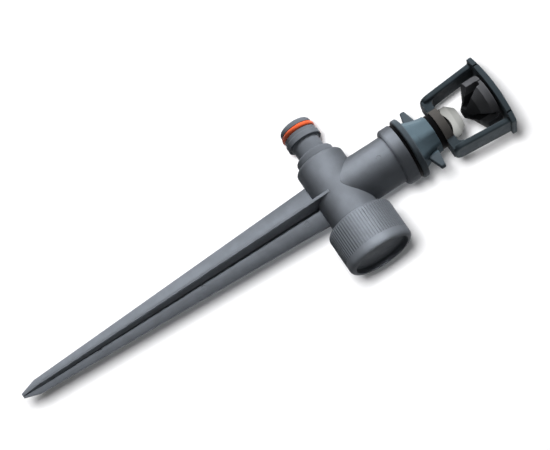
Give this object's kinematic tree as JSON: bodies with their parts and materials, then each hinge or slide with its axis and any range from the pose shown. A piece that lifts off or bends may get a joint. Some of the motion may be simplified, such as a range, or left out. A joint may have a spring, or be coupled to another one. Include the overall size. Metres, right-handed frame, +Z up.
{
  "type": "spike sprinkler",
  "caption": "Garden sprinkler on a finned ground spike, with a hose nipple, a screwed end cap and a winged screw-in head whose swivel spins in a yoke to spread water.",
  "frame": {"origin": "on the spike axis at soil level, just under the end cap", "axes": "+Z up the spike axis, +X along the barrel towards the end cap, the hose nipple points to -X"},
  "size_m": [0.0813, 0.0352, 0.2751],
  "materials": {
    "grey_plastic": "moulded satin",
    "orange_rubber": "smooth",
    "black_rubber": "smooth",
    "base_plastic": "moulded satin",
    "nozzle_plastic": "moulded satin",
    "yoke_plastic": "moulded satin",
    "acetal": "smooth",
    "swivel_plastic": "moulded satin",
    "steel": "drawn"
  },
  "bodies": {
    "spike": {"spike_fins": "grey_plastic", "barrel": "grey_plastic", "outlet_spigot": "grey_plastic", "riser": "grey_plastic", "hose_nipple": "grey_plastic", "inlet_o_ring": "orange_rubber"},
    "cap_washer": {"end_cap_seal": "black_rubber"},
    "cap": {"end_cap": "grey_plastic"},
    "head_washer": {"head_seal": "black_rubber"},
    "head": {"head_stub": "base_plastic", "head_base": "base_plastic", "yoke_ring": "black_rubber", "nozzle_stem": "nozzle_plastic", "nozzle": "nozzle_plastic", "nozzle_o_ring": "black_rubber", "yoke": "yoke_plastic", "yoke_top": "yoke_plastic", "bearing_bush": "acetal"},
    "rotor": {"swivel": "swivel_plastic", "swivel_spindle": "steel", "thrust_washer": "acetal", "spindle_clip": "steel"}
  },
  "joints": [
    {"name": "cap_travel", "type": "slide", "parent": "spike", "child": "cap_washer", "axis": [1, 0, 0], "range_m": [0, 0.01361]},
    {"name": "cap_turn", "type": "hinge", "parent": "cap_washer", "child": "cap", "pos_m": [0.027, 0, 0.02015], "axis": [1, 0, 0], "range_deg": [0, 2700]},
    {"name": "head_travel", "type": "slide", "parent": "spike", "child": "head_washer", "axis": [0, 0, 1], "range_m": [0, 0.0127]},
    {"name": "head_turn", "type": "hinge", "parent": "head_washer", "child": "head", "pos_m": [0, 0, 0.0588], "axis": [0, 0, 1], "range_deg": [0, 2520]},
    {"name": "swivel_spin", "type": "hinge", "parent": "head", "child": "rotor", "pos_m": [0, 0, 0.1], "axis": [0, 0, 1], "continuous": true}
  ],
  "couplings": [
    {"joint": "cap_travel", "follows": "cap_turn", "m_per_rad": 0.00028871},
    {"joint": "head_travel", "follows": "head_turn", "m_per_rad": 0.00028871}
  ]
}
